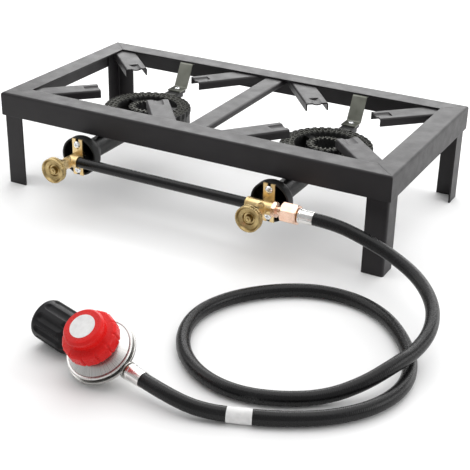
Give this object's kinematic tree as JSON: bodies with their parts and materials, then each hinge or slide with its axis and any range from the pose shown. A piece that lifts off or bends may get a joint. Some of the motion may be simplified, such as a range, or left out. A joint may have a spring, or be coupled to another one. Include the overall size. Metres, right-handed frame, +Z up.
{
  "type": "propane burner stand",
  "caption": "Low double-burner gas stand: angle-steel frame with pot supports, cast ring burners, brass needle valves, black hose and adjustable regulator.",
  "frame": {"origin": "bottom centre of the stand's box with its valves, hose and regulator left out, on the surface it stands on", "axes": "+X to the right along the stand's long side, -Y towards the valve knobs, +Z up"},
  "size_m": [0.7195, 0.6996, 0.14],
  "materials": {
    "inner_steel": "plain steel",
    "frame_paint": "satin powder coat, dark warm charcoal",
    "screw_steel": "bright zinc plate",
    "cast_iron": "black, rough as cast",
    "strap_zinc": "dull olive-grey zinc plate",
    "valve_brass": "machined, satin",
    "hose_rubber": "black, fine ribbed satin",
    "ferrule_steel": "bright plated, crimped",
    "label_white": "blank glossy label",
    "nut_brass": "bright machined",
    "inner_rubber": "moulded rubber",
    "pipe_black": "glossy black",
    "regulator_zinc": "die cast and turned, silver",
    "knob_red": "glossy moulded red",
    "nut_black": "satin moulded black",
    "knob_brass": "darkened cast brass"
  },
  "bodies": {
    "root": {"burner_hanger_left": "frame_paint", "burner_hanger_right": "frame_paint", "burner_hanger_screws": "screw_steel", "burner_left": "cast_iron", "burner_right": "cast_iron", "burner_strap_left": "strap_zinc", "burner_strap_right": "strap_zinc", "burner_strap_screws": "screw_steel", "center_crossbar": "frame_paint", "diaphragm_plate": "inner_steel", "gas_injectors": "valve_brass", "hose": "hose_rubber", "hose_ferrule_front": "ferrule_steel", "hose_ferrule_rear": "ferrule_steel", "hose_label_band": "label_white", "hose_nipple_front": "valve_brass", "hose_nipple_rear": "valve_brass", "inlet_connector": "nut_brass", "inlet_nipple": "valve_brass", "inlet_seal": "inner_rubber", "leg_back_left": "frame_paint", "leg_back_right": "frame_paint", "leg_front_left": "frame_paint", "leg_front_right": "frame_paint", "manifold_pipe": "pipe_black", "pot_support_left_back_inner": "frame_paint", "pot_support_left_back_outer": "frame_paint", "pot_support_left_front_inner": "frame_paint", "pot_support_left_front_outer": "frame_paint", "pot_support_right_back_inner": "frame_paint", "pot_support_right_back_outer": "frame_paint", "pot_support_right_front_inner": "frame_paint", "pot_support_right_front_outer": "frame_paint", "rail_back": "frame_paint", "rail_front": "frame_paint", "rail_left": "frame_paint", "rail_right": "frame_paint", "regulator_body": "regulator_zinc", "regulator_bonnet": "regulator_zinc", "regulator_diaphragm": "inner_rubber", "regulator_lever": "inner_steel", "regulator_spring": "inner_steel", "valve_body_left": "valve_brass", "valve_body_right": "valve_brass", "valve_gland_nuts": "valve_brass", "valve_screws": "screw_steel"},
    "left_valve_control": {"valve_knob_left": "knob_brass", "valve_stem_left": "valve_brass"},
    "right_valve_control": {"valve_knob_right": "knob_brass", "valve_stem_right": "valve_brass"},
    "regulator_control": {"regulator_knob": "knob_red", "knob_disc_label": "label_white", "adjusting_screw": "inner_steel"},
    "spring_carrier": {"spring_seat": "inner_steel"},
    "tank_coupling": {"tank_nut": "nut_black"},
    "hose_coupling": {"hose_swivel_nut": "nut_brass"}
  },
  "joints": [
    {"name": "left_valve_turn", "type": "hinge", "parent": "root", "child": "left_valve_control", "pos_m": [-0.152, -0.191, 0.0785], "axis": [0, -1, 0], "range_deg": [0, 540]},
    {"name": "right_valve_turn", "type": "hinge", "parent": "root", "child": "right_valve_control", "pos_m": [0.145, -0.191, 0.0785], "axis": [0, -1, 0], "range_deg": [0, 540]},
    {"name": "regulator_turn", "type": "hinge", "parent": "root", "child": "regulator_control", "pos_m": [0.11523, -0.4612, 0.02132], "axis": [0.0836, 0.5103, -0.8559], "range_deg": [0, 1080]},
    {"name": "spring_seat_travel", "type": "slide", "parent": "root", "child": "spring_carrier", "axis": [0.0836, 0.5103, -0.8559], "range_m": [0, 0.003], "deforming": ["regulator_spring"]},
    {"name": "tank_nut_spin", "type": "hinge", "parent": "root", "child": "tank_coupling", "pos_m": [0.04269, -0.44258, 0.02534], "axis": [0.9672, -0.2483, -0.0536], "continuous": true},
    {"name": "hose_nut_spin", "type": "hinge", "parent": "root", "child": "hose_coupling", "pos_m": [0.1835, -0.146, 0.0785], "axis": [1, 0, 0], "continuous": true}
  ],
  "couplings": [
    {"joint": "spring_seat_travel", "follows": "regulator_turn", "m_per_rad": 0.00015915}
  ]
}
